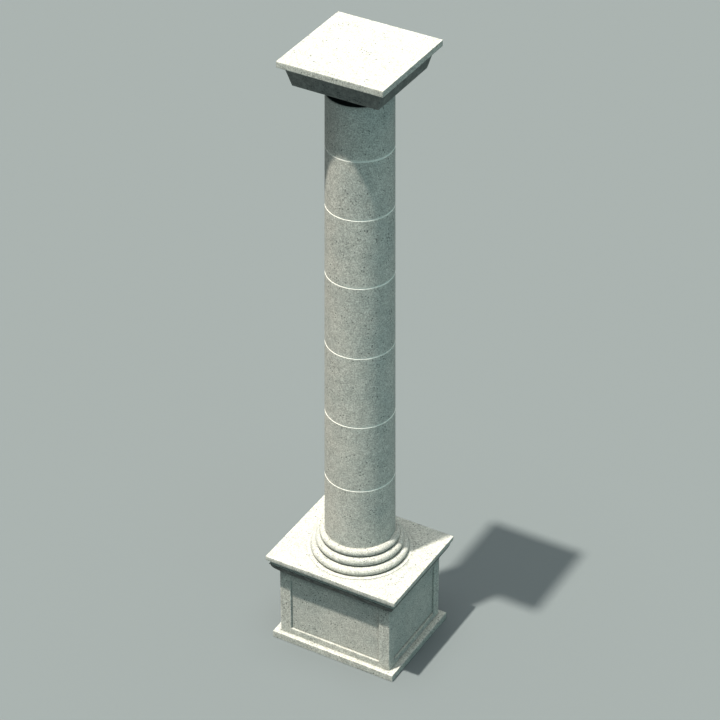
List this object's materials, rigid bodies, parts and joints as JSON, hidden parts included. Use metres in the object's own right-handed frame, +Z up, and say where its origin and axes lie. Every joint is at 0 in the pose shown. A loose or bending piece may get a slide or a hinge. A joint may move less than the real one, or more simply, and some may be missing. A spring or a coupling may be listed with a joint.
{
  "type": "stone column",
  "caption": "Tapering round stone column in stacked drums on a panelled rectangular pedestal, with a ringed base and a square bell capital that carries a beam.",
  "frame": {"origin": "on the ground, at the middle of the plinth's underside", "axes": "+Z up the column's axis, +X along the pedestal's longer side, +Y along its shorter side"},
  "size_m": [0.926, 0.764, 4.2031],
  "materials": {
    "stone": "fine-grained pale grey stone, rubbed smooth, with dark specks"
  },
  "bodies": {
    "root": {"pedestal_plinth": "stone", "pedestal_die": "stone", "pedestal_cap": "stone", "column_base": "stone", "shaft_drum_1": "stone", "shaft_drum_2": "stone", "shaft_drum_3": "stone", "shaft_drum_4": "stone", "shaft_drum_5": "stone", "shaft_drum_6": "stone", "shaft_drum_7": "stone", "capital": "stone"}
  },
  "joints": []
}
